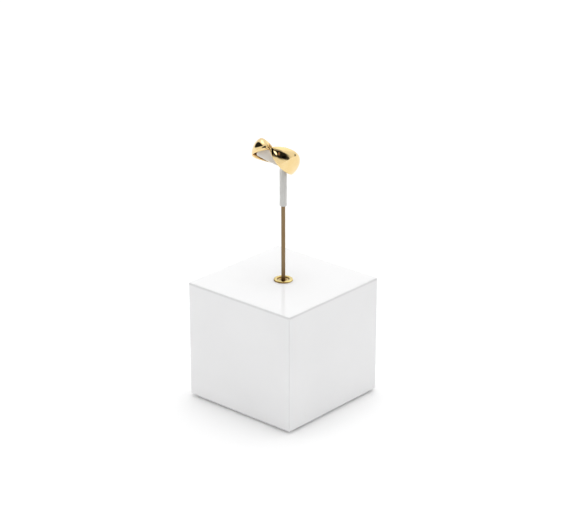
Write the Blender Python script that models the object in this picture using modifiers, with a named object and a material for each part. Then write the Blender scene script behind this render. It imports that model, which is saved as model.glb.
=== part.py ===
"""A jewelry stand: a white lacquered block, a slim brass rod and a grey clip that holds up a gold ring.

The stand is in metres with +Z up. The origin is on the surface it stands on, under the middle of the
block, and X and Y run along the block's sides. The rod turns in its brass socket, the clip pulls up off
the rod, and the ring slides off the clip along its own axis.
"""

import math

import bmesh
import bpy
from mathutils import Euler, Matrix, Vector

MM = 0.001

# Fits. Pieces that rest on each other keep the seat gap, and the rod runs in its bores with the clearance.
SEAT_GAP = 0.1 * MM
ROD_CLEARANCE = 0.15 * MM
PRESS_CLEARANCE = 0.1 * MM

# The lacquered wooden block.
BLOCK_SIDE = 54.5 * MM
BLOCK_HEIGHT = 49.9 * MM
BLOCK_EDGE_RADIUS = 0.5 * MM

# The felt pad under it, set in from the block's edge.
PAD_THICKNESS = 0.9 * MM
PAD_INSET = 1.3 * MM
PAD_CORNER_RADIUS = 2.0 * MM

# The turned brass socket: a dished flange on the block's top, over a closed tail in its bore.
DISH_FLOOR_WIDTH = 1.4 * MM
DISH_FLOOR_HEIGHT = 0.2 * MM
DISH_SLOPE_WIDTH = 0.8 * MM
FLANGE_CREST_WIDTH = 0.8 * MM
FLANGE_CREST_HEIGHT = 0.75 * MM
FLANGE_EDGE_HEIGHT = 0.25 * MM
SOCKET_DEPTH = 15.0 * MM
SOCKET_WALL = 0.6 * MM
SOCKET_FLOOR = 1.0 * MM

# The brass rod, and how much of it shows between the block and the clip's sleeve.
ROD_RADIUS = 0.8 * MM
ROD_TIP_CHAMFER = 0.2 * MM
ROD_SHOWN = 32.3 * MM

# The clip's sleeve, from its lower end to the point of its axis that lies in the middle of the leaf.
SLEEVE_RADIUS = 1.43 * MM
SLEEVE_LENGTH = 19.2 * MM
SLEEVE_EDGE_RADIUS = 0.3 * MM

# The clip's leaf, an arched strip that spans the ring's hole and narrows to its ends, and its peg.
LEAF_WIDTH = 5.9 * MM
LEAF_END_WIDTH = 5.0 * MM
LEAF_THICKNESS = 0.8 * MM
LEAF_END_HEIGHT = 4.1 * MM
LEAF_ARCH = 0.7 * MM
LEAF_CORNER_RADIUS = 0.7 * MM
LEAF_EDGE_RADIUS = 0.15 * MM
LEAF_OFFSET = 1.5 * MM
STEM_OFFSET = 3.3 * MM
PEG_LENGTH = 5.4 * MM

# How the leaf and the ring lean, as turns about X, then Y, then Z.
HEAD_LEAN = math.radians(56.3)
HEAD_SLOPE = math.radians(24.1)
HEAD_TURN = math.radians(-57.5)

# The ring: a wide band, pinched at one place into two swelling lobes, over a slim shank.
RING_INNER_RADIUS = 8.5 * MM
RING_EDGE_THICKNESS = 0.75 * MM
RING_SHANK_THICKNESS = 1.15 * MM
RING_LOBE_THICKNESS = 1.55 * MM
RING_SHANK_HALF_WIDTH = 1.0 * MM
RING_PINCH_UPPER = 0.7 * MM
RING_PINCH_LOWER = 0.9 * MM
RING_LOBE_UPPER = 3.35 * MM
RING_LARGE_LOBE_LOWER = 5.9 * MM
RING_SMALL_LOBE_LOWER = 4.0 * MM
RING_LOBE_ANGLE = math.radians(63.0)
RING_SMALL_LOBE_LOWER_ANGLE = math.radians(72.0)
RING_LOBE_TAPER = 1.5
RING_SQUARENESS = 0.6

# The ring's pinch. It slants back across the band, and its folds lie on the small lobe's side.
RING_PINCH_ANGLE = math.radians(-18.0)
RING_PINCH_SLANT = math.radians(5.0)
RING_FOLDS = 3
RING_FOLD_DEPTH = 0.3 * MM
RING_FOLD_REACH = math.radians(14.0)
RING_FOLD_SHIFT = math.radians(9.0)

# Facets of the round forms, and the angles from which edges count as sharp and the leaf's rim is rounded.
ROUND_STEPS = 40
RING_STEPS = 96
RING_SECTION_STEPS = 28
ARC_STEPS = 4
BLOCK_EDGE_STEPS = 3
LEAF_STEPS = 14
LEAF_CROSS_STEPS = 4
LEAF_EDGE_STEPS = 2
SHARP_ANGLE = math.radians(35.0)
RIM_ANGLE = math.radians(50.0)
MERGE_DISTANCE = 0.005 * MM
EMPTY_SIZE = 5.0 * MM

# Places that follow from the sizes.
BLOCK_BOTTOM = PAD_THICKNESS + SEAT_GAP
BLOCK_TOP = BLOCK_BOTTOM + BLOCK_HEIGHT
BORE_RADIUS = ROD_RADIUS + ROD_CLEARANCE
TAIL_RADIUS = BORE_RADIUS + SOCKET_WALL
FLANGE_BOTTOM = BLOCK_TOP + SEAT_GAP
SOCKET_BOTTOM = BLOCK_TOP - SOCKET_DEPTH
TAIL_BOTTOM = SOCKET_BOTTOM - SOCKET_FLOOR
SLEEVE_BOTTOM = BLOCK_TOP + ROD_SHOWN
LEAF_CROSSING = SLEEVE_BOTTOM + SLEEVE_LENGTH
PEG_BOTTOM = LEAF_CROSSING - PEG_LENGTH
ROD_TOP = PEG_BOTTOM - SEAT_GAP
ROD_BOTTOM = SOCKET_BOTTOM + SEAT_GAP
RING_SEAT_RADIUS = RING_INNER_RADIUS - SEAT_GAP
LEAF_HALF_LENGTH = math.sqrt(RING_SEAT_RADIUS**2 - LEAF_END_HEIGHT**2)
LEAF_END_MIDDLE = LEAF_END_HEIGHT - LEAF_THICKNESS / 2

# The sleeve and the peg start as blanks that run past the leaf, and a slab with a longer reach trims them.
BLANK_TOP = LEAF_CROSSING + 2 * SLEEVE_RADIUS
TRIM_REACH = 4 * SLEEVE_RADIUS


def head_matrix():
    """The frame of the leaf and ring: X along the leaf, Y along the ring's axis, Z out through the leaf."""
    turned = Euler((HEAD_LEAN, HEAD_SLOPE, HEAD_TURN), "XYZ").to_matrix()
    crossing = Vector((STEM_OFFSET, -LEAF_OFFSET, leaf_height(STEM_OFFSET)))
    origin = Vector((0, 0, LEAF_CROSSING)) - turned @ crossing
    return Matrix.Translation(origin) @ turned.to_4x4()


def leaf_height(x):
    """Height of the leaf's middle surface over the ring's axis, at x along the leaf."""
    return LEAF_END_MIDDLE + LEAF_ARCH * (1 - (x / LEAF_HALF_LENGTH) ** 2)


def make_material(name, colour, roughness, metallic=0.0):
    material = bpy.data.materials.new(name)
    material.use_nodes = True
    shader = material.node_tree.nodes["Principled BSDF"]
    shader.inputs["Base Color"].default_value = (*colour, 1.0)
    shader.inputs["Roughness"].default_value = roughness
    shader.inputs["Metallic"].default_value = metallic
    material.diffuse_color = (*colour, 1.0)
    return material


def add_object(name, mesh, collection, material=None, parent=None):
    """Puts a mesh in the scene, in its parent's frame, with smooth rounds and sharp corners."""
    obj = bpy.data.objects.new(name, mesh)
    collection.objects.link(obj)
    if material:
        mesh.materials.append(material)
    mesh.shade_smooth()
    mesh.set_sharp_from_angle(angle=SHARP_ANGLE)
    obj.parent = parent
    return obj


def add_empty(name, matrix, collection, parent=None):
    empty = bpy.data.objects.new(name, None)
    collection.objects.link(empty)
    empty.empty_display_size = EMPTY_SIZE
    empty.parent = parent
    if parent:
        empty.matrix_parent_inverse = parent.matrix_world.inverted()
    empty.matrix_world = matrix
    bpy.context.view_layer.update()
    return empty


def make_cutter(obj):
    obj.hide_render = True
    obj.display_type = "WIRE"
    return obj


def add_boolean(obj, other, operation):
    modifier = obj.modifiers.new(operation.title(), "BOOLEAN")
    modifier.operation = operation
    modifier.object = other
    modifier.solver = "EXACT"


def to_mesh(name, shape):
    mesh = bpy.data.meshes.new(name)
    shape.to_mesh(mesh)
    shape.free()
    return mesh


def square_mesh(name, side, bottom, top, corner_radius=0.0):
    """A square slab, with its four upright edges rounded where a corner radius is given."""
    shape = bmesh.new()
    bmesh.ops.create_cube(shape, size=1.0)
    upright = [edge for edge in shape.edges if edge.verts[0].co.z * edge.verts[1].co.z < 0]
    bmesh.ops.scale(shape, vec=(side, side, top - bottom), verts=shape.verts)
    bmesh.ops.translate(shape, vec=(0, 0, (bottom + top) / 2), verts=shape.verts)
    if corner_radius:
        bmesh.ops.bevel(
            shape, geom=upright, offset=corner_radius, segments=ARC_STEPS, profile=0.5, affect="EDGES"
        )
    return to_mesh(name, shape)


def cylinder_mesh(name, radius, bottom, top):
    shape = bmesh.new()
    bmesh.ops.create_cone(
        shape, cap_ends=True, segments=ROUND_STEPS, radius1=radius, radius2=radius, depth=top - bottom
    )
    bmesh.ops.translate(shape, vec=(0, 0, (bottom + top) / 2), verts=shape.verts)
    return to_mesh(name, shape)


def arc(centre_x, centre_z, radius_x, radius_z, start, end):
    """Points of an arc in the XZ plane, from the start angle to the end angle in degrees."""
    points = []
    for step in range(ARC_STEPS + 1):
        angle = math.radians(start + (end - start) * step / ARC_STEPS)
        points.append((centre_x + radius_x * math.cos(angle), centre_z + radius_z * math.sin(angle)))
    return points


def turned_object(name, profile, closed, collection, material, parent=None):
    """A Screw of a profile about Z. The profile runs down the outer side, as (radius, height) points."""
    shape = bmesh.new()
    corners = [shape.verts.new((radius, 0, height)) for radius, height in profile]
    for first, second in zip(corners, corners[1:]):
        shape.edges.new((first, second))
    if closed:
        shape.edges.new((corners[-1], corners[0]))
    obj = add_object(name, to_mesh(name, shape), collection, material, parent)
    screw = obj.modifiers.new("Turn", "SCREW")
    screw.steps = ROUND_STEPS
    screw.render_steps = ROUND_STEPS
    screw.use_merge_vertices = True
    screw.merge_threshold = MERGE_DISTANCE
    screw.use_smooth_shade = True
    return obj


def add_block(parts, cutters, material):
    mesh = square_mesh("block", BLOCK_SIDE, BLOCK_BOTTOM, BLOCK_TOP)
    block = add_object("block", mesh, parts, material)
    edges = block.modifiers.new("Edges", "BEVEL")
    edges.width = BLOCK_EDGE_RADIUS
    edges.segments = BLOCK_EDGE_STEPS
    edges.limit_method = "ANGLE"
    bore_radius = TAIL_RADIUS + PRESS_CLEARANCE
    bore_mesh = cylinder_mesh("block_bore", bore_radius, TAIL_BOTTOM - SEAT_GAP, BLOCK_TOP + SOCKET_FLOOR)
    bore = make_cutter(add_object("block_bore", bore_mesh, cutters))
    add_boolean(block, bore, "DIFFERENCE")


def add_base_pad(parts, material):
    mesh = square_mesh("base_pad", BLOCK_SIDE - 2 * PAD_INSET, 0, PAD_THICKNESS, PAD_CORNER_RADIUS)
    add_object("base_pad", mesh, parts, material)


def add_ferrule(parts, material):
    """The brass socket, turned with a blind bore. Its flange rises to a round crest round a dish."""
    crest_radius = BORE_RADIUS + DISH_FLOOR_WIDTH + DISH_SLOPE_WIDTH
    edge_height = BLOCK_TOP + FLANGE_EDGE_HEIGHT
    rise = FLANGE_CREST_HEIGHT - FLANGE_EDGE_HEIGHT
    fall = FLANGE_CREST_HEIGHT - DISH_FLOOR_HEIGHT
    dish_height = BLOCK_TOP + DISH_FLOOR_HEIGHT
    profile = [(0, SOCKET_BOTTOM), (BORE_RADIUS, SOCKET_BOTTOM), (BORE_RADIUS, dish_height)]
    profile += arc(crest_radius, dish_height, DISH_SLOPE_WIDTH, fall, 180, 90)
    profile += arc(crest_radius, edge_height, FLANGE_CREST_WIDTH, rise, 90, 0)[1:]
    profile += [(crest_radius + FLANGE_CREST_WIDTH, FLANGE_BOTTOM), (TAIL_RADIUS, FLANGE_BOTTOM)]
    profile += [(TAIL_RADIUS, TAIL_BOTTOM), (0, TAIL_BOTTOM)]
    turned_object("ferrule", profile, False, parts, material)


def add_rod(parts, material, parent):
    shoulder = ROD_RADIUS - ROD_TIP_CHAMFER
    profile = [
        (0, ROD_TOP),
        (shoulder, ROD_TOP),
        (ROD_RADIUS, ROD_TOP - ROD_TIP_CHAMFER),
        (ROD_RADIUS, ROD_BOTTOM + ROD_TIP_CHAMFER),
        (shoulder, ROD_BOTTOM),
        (0, ROD_BOTTOM),
    ]
    turned_object("rod", profile, False, parts, material, parent)


def leaf_surface(name, reach=0.0, corner_radius=0.0):
    """The leaf's middle surface in the head's frame, or one past it: a grid, tapered and arched."""
    half_width = LEAF_WIDTH / 2 + reach
    shape = bmesh.new()
    bmesh.ops.create_grid(shape, x_segments=LEAF_STEPS, y_segments=LEAF_CROSS_STEPS, size=1.0)
    bmesh.ops.scale(shape, vec=(LEAF_HALF_LENGTH + reach, half_width, 1), verts=shape.verts)
    if corner_radius:
        corners = [vert for vert in shape.verts if len(vert.link_edges) == 2]
        bmesh.ops.bevel(
            shape, geom=corners, offset=corner_radius, segments=ARC_STEPS, profile=0.5, affect="VERTICES"
        )
    for vert in shape.verts:
        along = vert.co.x / LEAF_HALF_LENGTH
        taper = 1 - (LEAF_WIDTH - LEAF_END_WIDTH) / 2 * along**2 / half_width
        vert.co = Vector((vert.co.x, vert.co.y * taper - LEAF_OFFSET, leaf_height(vert.co.x)))
    return to_mesh(name, shape)


def thicken(obj, low, high):
    """Solidify from low to high, measured outwards from the middle surface."""
    solid = obj.modifiers.new("Thickness", "SOLIDIFY")
    solid.thickness = high - low
    solid.offset = (high + low) / (high - low)
    solid.use_even_offset = True


def add_leaf_cutter(name, low, parts, parent):
    """A slab over the leaf, from low out past the sleeve's blank end, which trims what meets the leaf."""
    cutter = make_cutter(add_object(name, leaf_surface(name, TRIM_REACH), parts, parent=parent))
    thicken(cutter, low, TRIM_REACH)
    return cutter


def add_sleeve(parts, cutters, material, lift, head):
    """A tube on the rod, cut on the slant where it meets the back of the leaf."""
    edge = SLEEVE_EDGE_RADIUS
    profile = [(BORE_RADIUS, BLANK_TOP), (SLEEVE_RADIUS, BLANK_TOP)]
    profile += arc(SLEEVE_RADIUS - edge, SLEEVE_BOTTOM + edge, edge, edge, 0, -90)
    profile += [(BORE_RADIUS, SLEEVE_BOTTOM)]
    sleeve = turned_object("clip_sleeve", profile, True, parts, material, lift)
    cutter = add_leaf_cutter("sleeve_trim", -LEAF_THICKNESS / 2 - SEAT_GAP, cutters, head)
    add_boolean(sleeve, cutter, "DIFFERENCE")


def add_leaf(parts, cutters, material, head):
    """The arched leaf, with the peg that enters the sleeve and rests on the rod's tip."""
    mesh = leaf_surface("clip_leaf", corner_radius=LEAF_CORNER_RADIUS)
    leaf = add_object("clip_leaf", mesh, parts, material, head)
    thicken(leaf, -LEAF_THICKNESS / 2, LEAF_THICKNESS / 2)
    rim = leaf.modifiers.new("Rim", "BEVEL")
    rim.width = LEAF_EDGE_RADIUS
    rim.segments = LEAF_EDGE_STEPS
    rim.limit_method = "ANGLE"
    rim.angle_limit = RIM_ANGLE
    peg_mesh = cylinder_mesh("leaf_peg", ROD_RADIUS, PEG_BOTTOM, BLANK_TOP)
    peg = make_cutter(add_object("leaf_peg", peg_mesh, cutters))
    add_boolean(peg, add_leaf_cutter("peg_trim", 0.0, cutters, head), "DIFFERENCE")
    add_boolean(leaf, peg, "UNION")


def lobe_swell(angle, widest):
    """0 at the pinch and at the back of the shank, and 1 at the angle where a lobe is widest."""
    skew = math.log(0.5) / math.log(widest / math.pi)
    return math.sin(math.pi * min(1.0, abs(angle) / math.pi) ** skew)


def signed_power(value, power):
    return math.copysign(abs(value) ** power, value)


def band_half_width(from_pinch, upper):
    """How far one edge of the band lies from the ring's middle plane, by the angle from the pinch."""
    if upper:
        pinch, lobe, widest = RING_PINCH_UPPER, RING_LOBE_UPPER, RING_LOBE_ANGLE
    else:
        from_pinch = math.remainder(from_pinch + RING_PINCH_SLANT, math.tau)
        pinch, lobe, widest = RING_PINCH_LOWER, RING_LARGE_LOBE_LOWER, RING_LOBE_ANGLE
        if from_pinch < 0:
            lobe, widest = RING_SMALL_LOBE_LOWER, RING_SMALL_LOBE_LOWER_ANGLE
    least = RING_SHANK_HALF_WIDTH + (pinch - RING_SHANK_HALF_WIDTH) * math.cos(from_pinch / 2) ** 2
    return least + (lobe - least) * lobe_swell(from_pinch, widest) ** RING_LOBE_TAPER


def ring_point(turn, section):
    """A point of the ring: turn goes round the ring from the leaf's normal, section round the band."""
    from_pinch = math.remainder(turn - RING_PINCH_ANGLE, math.tau)
    swell = lobe_swell(from_pinch, RING_LOBE_ANGLE)
    across = signed_power(math.sin(section), RING_SQUARENESS)
    half_width = band_half_width(from_pinch, across > 0)
    crown = RING_SHANK_THICKNESS + (RING_LOBE_THICKNESS - RING_SHANK_THICKNESS) * swell
    thickness = RING_EDGE_THICKNESS + (crown - RING_EDGE_THICKNESS) * (1 - across**2)
    fade = math.exp(-(((from_pinch + RING_FOLD_SHIFT) / RING_FOLD_REACH) ** 2))
    thickness += RING_FOLD_DEPTH * fade * math.cos(RING_FOLDS * math.pi * across)
    depth = (1 + signed_power(math.cos(section), RING_SQUARENESS)) / 2
    radius = RING_INNER_RADIUS + depth * thickness
    return Vector((radius * math.sin(turn), half_width * across, radius * math.cos(turn)))


def add_ring(parts, material, head):
    """A torus whose every ring of points is redrawn as the band's section there."""
    bpy.ops.mesh.primitive_torus_add(
        major_segments=RING_STEPS,
        minor_segments=RING_SECTION_STEPS,
        major_radius=RING_INNER_RADIUS,
        minor_radius=RING_EDGE_THICKNESS,
    )
    torus = bpy.context.object
    mesh = torus.data
    for vert in mesh.vertices:
        turn = math.atan2(vert.co.y, vert.co.x)
        section = math.atan2(vert.co.z, math.hypot(vert.co.x, vert.co.y) - RING_INNER_RADIUS)
        vert.co = ring_point(turn, section)
    bpy.data.objects.remove(torus)
    mesh.name = "ring"
    add_object("ring", mesh, parts, material, head)


def main():
    for obj in list(bpy.data.objects):
        bpy.data.objects.remove(obj)
    parts = bpy.data.collections.new("jewelry_stand")
    cutters = bpy.data.collections.new("cutters")
    bpy.context.scene.collection.children.link(parts)
    bpy.context.scene.collection.children.link(cutters)

    lacquer = make_material("white_lacquer", (0.86, 0.86, 0.87), 0.12)
    felt = make_material("grey_felt", (0.28, 0.28, 0.29), 0.95)
    polished_brass = make_material("polished_brass", (0.87, 0.66, 0.28), 0.14, 1.0)
    satin_brass = make_material("satin_brass", (0.50, 0.36, 0.19), 0.38, 1.0)
    grey_polymer = make_material("grey_polymer", (0.55, 0.55, 0.53), 0.55)
    gold = make_material("polished_gold", (0.95, 0.72, 0.34), 0.06, 1.0)

    turn = add_empty("rod_axis", Matrix.Translation((0, 0, 0)), parts)
    lift = add_empty("clip_lift", Matrix.Translation((0, 0, 0)), parts, turn)
    head = add_empty("clip_head", head_matrix(), parts, lift)

    add_block(parts, cutters, lacquer)
    add_base_pad(parts, felt)
    add_ferrule(parts, polished_brass)
    add_rod(parts, satin_brass, turn)
    add_sleeve(parts, cutters, grey_polymer, lift, head)
    add_leaf(parts, cutters, grey_polymer, head)
    add_ring(parts, gold, head)


if __name__ == "__main__":
    main()
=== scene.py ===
"""The finished look of a jewelry stand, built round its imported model.

A white lacquered block carries a slim brass rod in a turned socket. A grey clip on the rod's top holds up
one gold ring. Run as a script, it makes each piece with an operator of its own and sets the stage.
"""

import math

import bmesh
import bpy
from bpy.props import FloatProperty, FloatVectorProperty, IntProperty, PointerProperty
from mathutils import Euler, Matrix, Vector


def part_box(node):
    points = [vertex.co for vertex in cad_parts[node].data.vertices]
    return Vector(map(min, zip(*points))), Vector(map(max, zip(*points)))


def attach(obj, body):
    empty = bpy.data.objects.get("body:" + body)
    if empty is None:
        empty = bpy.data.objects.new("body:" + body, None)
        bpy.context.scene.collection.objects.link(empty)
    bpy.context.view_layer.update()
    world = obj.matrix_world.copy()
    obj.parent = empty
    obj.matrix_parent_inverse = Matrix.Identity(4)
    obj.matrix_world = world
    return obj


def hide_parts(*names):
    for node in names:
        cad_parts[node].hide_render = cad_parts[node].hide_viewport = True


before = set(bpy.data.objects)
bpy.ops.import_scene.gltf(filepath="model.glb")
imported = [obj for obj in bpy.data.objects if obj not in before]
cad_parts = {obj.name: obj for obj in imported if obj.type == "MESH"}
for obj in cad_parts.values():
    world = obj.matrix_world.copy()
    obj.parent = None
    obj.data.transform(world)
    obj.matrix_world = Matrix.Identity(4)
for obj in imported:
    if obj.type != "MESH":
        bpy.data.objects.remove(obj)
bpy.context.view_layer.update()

bl_info = {
    "name": "Jewelry Stand",
    "version": (1, 0, 0),
    "blender": (4, 5, 0),
    "location": "View3D > Sidebar > Jewelry Stand",
    "description": "Builds a ring display stand: block, socket, rod, clip and ring",
    "category": "Add Mesh",
}

MM = 0.001
MICRON = 0.000001

BLOCK_LOW, BLOCK_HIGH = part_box("block")
PAD_LOW, PAD_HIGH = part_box("base_pad")
SOCKET_LOW, SOCKET_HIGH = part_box("ferrule")
ROD_LOW, ROD_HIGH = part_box("rod")
SLEEVE_LOW, SLEEVE_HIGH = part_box("clip_sleeve")

TURN_STEPS = 96
ARC_STEPS = 10
BEVEL_STEPS = 8
RIM_STEPS = 4
SOFT_EDGE_STEPS = 3
PAD_CORNER_STEPS = 12
LEAF_LENGTH_STEPS = 20
LEAF_WIDTH_STEPS = 4
FLOOR_STEPS = 128
SHARP_ANGLE = math.radians(40)
RIM_ANGLE = math.radians(50)

# The share of the painted shade in the folds that follows their ridges.
FOLD_CONTRAST = 0.35

# The light that dull surfaces get from the room: its four walls, and how narrow its two lamps are.
LEFT_WALL = 0.49
RIGHT_WALL = 0.28
FRONT_WALL = 0.72
BACK_WALL = 1.1
OVERHEAD_FOCUS = 24.0
KEY_FOCUS = 8.0
KEY_DIRECTION = Vector((0.6, 0.0, 0.8))

# The white that the camera sees behind the stand, and what the bright patches add to the mirrored room.
CAMERA_WHITE = 1.05
PANEL_LIGHT = 0.3
WINDOW_LIGHT = 1.2
SLIT_LIGHT = 3.0
WARM_LIGHT = 0.3

SOFTBOX_PLACE = Vector((0.42, 0.0, 0.8))
SOFTBOX_WIDTH = 600 * MM
SENSOR_WIDTH = 36.0


def length(name, description, default):
    return FloatProperty(name=name, description=description, default=default, unit="LENGTH", precision=5)


def angle(name, description, degrees):
    return FloatProperty(name=name, description=description, default=math.radians(degrees), subtype="ANGLE")


def number(name, description, default):
    return FloatProperty(name=name, description=description, default=default)


def count(name, description, default, least=1):
    return IntProperty(name=name, description=description, default=default, min=least)


def colour(name, description, default):
    return FloatVectorProperty(
        name=name, description=description, default=default, subtype="COLOR", min=0.0, max=1.0
    )


class BlockSizes(bpy.types.PropertyGroup):
    side: length("Side", "Width of each side of the block", BLOCK_HIGH.x - BLOCK_LOW.x)
    edge_radius: length("Edge Radius", "Rounding of the block's edges", 0.5 * MM)
    bore_radius: length("Bore Radius", "Radius of the hole that takes the socket's tail", 1.65 * MM)
    bore_depth: length("Bore Depth", "Depth of that hole below the block's top", 16.1 * MM)
    lacquer: colour("Lacquer", "Colour of the gloss lacquer", (0.82, 0.82, 0.824))
    # This colour is painted shade, greying the block's edges and a line round its sides just under the top.
    edge_shade_lacquer: colour("Thin Lacquer", "Colour of the lacquer where it is thin", (0.66, 0.66, 0.664))


class PadSizes(bpy.types.PropertyGroup):
    side: length("Side", "Width of each side of the felt pad", PAD_HIGH.x - PAD_LOW.x)
    thickness: length("Thickness", "Thickness of the felt", PAD_HIGH.z - PAD_LOW.z)
    corner_radius: length("Corner Radius", "Rounding of the pad's corners", 2.0 * MM)
    soft_edge: length("Soft Edge", "Rounding of the felt's edges", 0.12 * MM)
    felt: colour("Felt", "Colour of the felt", (0.80, 0.80, 0.81))


class SocketSizes(bpy.types.PropertyGroup):
    bore_radius: length("Bore Radius", "Radius of the hole that the rod stands in", 0.95 * MM)
    wall: length("Wall", "Wall of the tail round that hole", 0.6 * MM)
    floor: length("Floor", "Thickness of the metal under the hole", 1.0 * MM)
    dish_floor_width: length("Dish Floor", "Flat width round the rod's foot", 1.4 * MM)
    dish_slope_width: length("Dish Slope", "Width of the slope from the dish up to the crest", 0.8 * MM)
    crest_width: length("Crest", "Width from the crest out to the flange's edge", 0.8 * MM)
    dish_height: length("Dish Height", "Height of the dish's floor over the block", 0.2 * MM)
    edge_height: length("Edge Height", "Height of the flange's straight edge", 0.25 * MM)
    brass: colour("Brass", "Colour of the polished brass", (0.80, 0.66, 0.29))
    # This colour is painted shade in brown, in the dish, round the rod's foot and along the flange's rim.
    painted_brass_shade: colour("Tarnish", "Colour of the brass at the foot of the dish", (0.34, 0.19, 0.06))


class RodSizes(bpy.types.PropertyGroup):
    radius: length("Radius", "Radius of the rod", ROD_HIGH.x)
    chamfer: length("Chamfer", "Chamfer on both ends of the rod", 0.2 * MM)
    brass: colour("Brass", "Colour of the drawn brass", (0.262, 0.184, 0.101))
    # This colour serves real streaks and painted shade by the rod's ends.
    patina_and_shade: colour("Patina", "Colour of the brass where it has darkened", (0.20, 0.12, 0.055))


class ClipSizes(bpy.types.PropertyGroup):
    sleeve_radius: length("Sleeve Radius", "Outer radius of the sleeve", SLEEVE_HIGH.x)
    bore_radius: length("Bore Radius", "Inner radius of the sleeve", 0.95 * MM)
    sleeve_edge: length("Sleeve Edge", "Rounding of the sleeve's lower end", 0.3 * MM)
    crossing: length("Crossing", "Height where the sleeve's axis meets the middle of the leaf", 102.4 * MM)
    leaf_width: length("Leaf Width", "Width of the leaf at its middle", 5.9 * MM)
    leaf_end_width: length("Leaf End Width", "Width of the leaf at its ends", 5.0 * MM)
    leaf_thickness: length("Leaf Thickness", "Thickness of the leaf", 0.8 * MM)
    leaf_arch: length("Leaf Arch", "How far the leaf's middle stands over its ends", 0.7 * MM)
    leaf_end_height: length("Leaf End Height", "Height of the leaf's ends over the ring's axis", 4.1 * MM)
    leaf_corner: length("Leaf Corner", "Rounding of the leaf's corners", 0.7 * MM)
    leaf_rim: length("Leaf Rim", "Rounding of the leaf's rim", 0.15 * MM)
    leaf_offset: length("Leaf Offset", "How far the leaf sits below the ring's middle plane", 1.5 * MM)
    stem_offset: length("Stem Offset", "How far along the leaf the sleeve meets it", 3.3 * MM)
    peg_length: length("Peg Length", "Length of the peg in the sleeve, down from the crossing", 5.4 * MM)
    seat_gap: length("Seat Gap", "Gap between faces that rest on each other", 0.1 * MM)
    polymer: colour("Polymer", "Colour of the moulded clip", (0.60, 0.595, 0.575))
    # This paler colour is painted light, up on the clip round the leaf.
    leaf_painted_light: colour("Rubbed Polymer", "Colour of the leaf, which rings rub paler", (0.82, 0.80, 0.755))


class RingSizes(bpy.types.PropertyGroup):
    lean: angle("Lean", "Turn of the ring about X", 56.3)
    slope: angle("Slope", "Turn of the ring about Y", 24.1)
    turn: angle("Turn", "Turn of the ring about Z", -57.5)
    inner_radius: length("Inner Radius", "Radius of the ring's hole", 8.5 * MM)
    edge_thickness: length("Edge Thickness", "Thickness of the band at its edges", 0.75 * MM)
    shank_thickness: length("Shank Thickness", "Thickness of the band's crown on the shank", 1.15 * MM)
    lobe_thickness: length("Lobe Thickness", "Thickness of the band's crown on the lobes", 1.55 * MM)
    shank_half_width: length("Shank Half Width", "Half the width of the slim shank", 1.0 * MM)
    pinch_upper: length("Pinch Upper", "Reach of the upper edge at the pinch", 0.7 * MM)
    pinch_lower: length("Pinch Lower", "Reach of the lower edge at the pinch", 0.9 * MM)
    lobe_upper: length("Lobe Upper", "Reach of the lobes' upper edges", 3.35 * MM)
    large_lobe_lower: length("Large Lobe Lower", "Reach of the large lobe's lower edge", 5.9 * MM)
    small_lobe_lower: length("Small Lobe Lower", "Reach of the small lobe's lower edge", 4.0 * MM)
    lobe_angle: angle("Lobe Angle", "From the pinch to where a lobe is widest", 63.0)
    small_lobe_lower_angle: angle("Small Lobe Lower Angle", "That of the small lobe's lower edge", 72.0)
    lobe_taper: number("Lobe Taper", "How late the lobes swell", 1.5)
    pinch_angle: angle("Pinch Angle", "From the leaf's normal to the pinch", -18.0)
    pinch_slant: angle("Pinch Slant", "From the upper edge's pinch back to the lower edge's", 5.0)
    fold_depth: length("Fold Depth", "Depth of the folds that run into the pinch", 0.23 * MM)
    fold_reach: angle("Fold Reach", "How far from their middle the folds fade", 7.0)
    fold_shift: angle("Fold Shift", "From the pinch back to the middle of the folds", 6.0)
    fold_skew: number("Fold Skew", "How far the folds slant across the band", 4.1)
    folds: count("Folds", "Number of folds across the pinch", 3)
    turn_steps: count("Turn Steps", "Facets round the ring", 400, least=12)
    section_steps: count("Section Steps", "Facets round the band", 96, least=8)
    squareness: number("Squareness", "1 for an oval band, less for a squarer one", 0.6)
    gold: colour("Gold", "Colour of the polished gold", (0.90, 0.70, 0.37))
    # This colour is painted shade in the folds.
    fold_shade_gold: colour("Fold Gold", "Colour of the gold in the hollows of the folds", (0.50, 0.28, 0.08))
    # This colour is painted shade and reflection inside the ring.
    inside_shade_gold: colour("Inner Gold", "Colour of the duller gold inside the ring", (0.48, 0.28, 0.08))


class StageSizes(bpy.types.PropertyGroup):
    azimuth: angle("Azimuth", "Where the camera stands, from the stand's front", -48.73)
    elevation: angle("Elevation", "Height of the camera over the horizon", 22.03)
    distance: length("Distance", "From the camera to the point it aims at", 831.0 * MM)
    aim: FloatVectorProperty(
        name="Aim",
        description="Point that the camera aims at",
        default=(2.2 * MM, -2.5 * MM, 60.1 * MM),
        unit="LENGTH",
    )
    lens: number("Lens", "Focal length of the camera in mm", 126.47)
    floor_radius: length("Floor Radius", "Radius of the round white floor", 12.0)
    floor_white: colour("Floor", "Colour of the floor", (0.92, 0.92, 0.92))
    overhead_light: number("Overhead Light", "Strength of the light overhead", 4.7)
    key_light: number("Key Light", "Strength of the wide light on the right", 1.28)
    wall_light: number("Wall Light", "Strength of the light from the walls", 1.1)
    room_light: number("Room Light", "Strength of the mirrored white room", 0.95)
    softbox_power: FloatProperty(
        name="Softbox Power", description="Power of the softbox overhead", default=0.1, subtype="POWER"
    )


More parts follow.
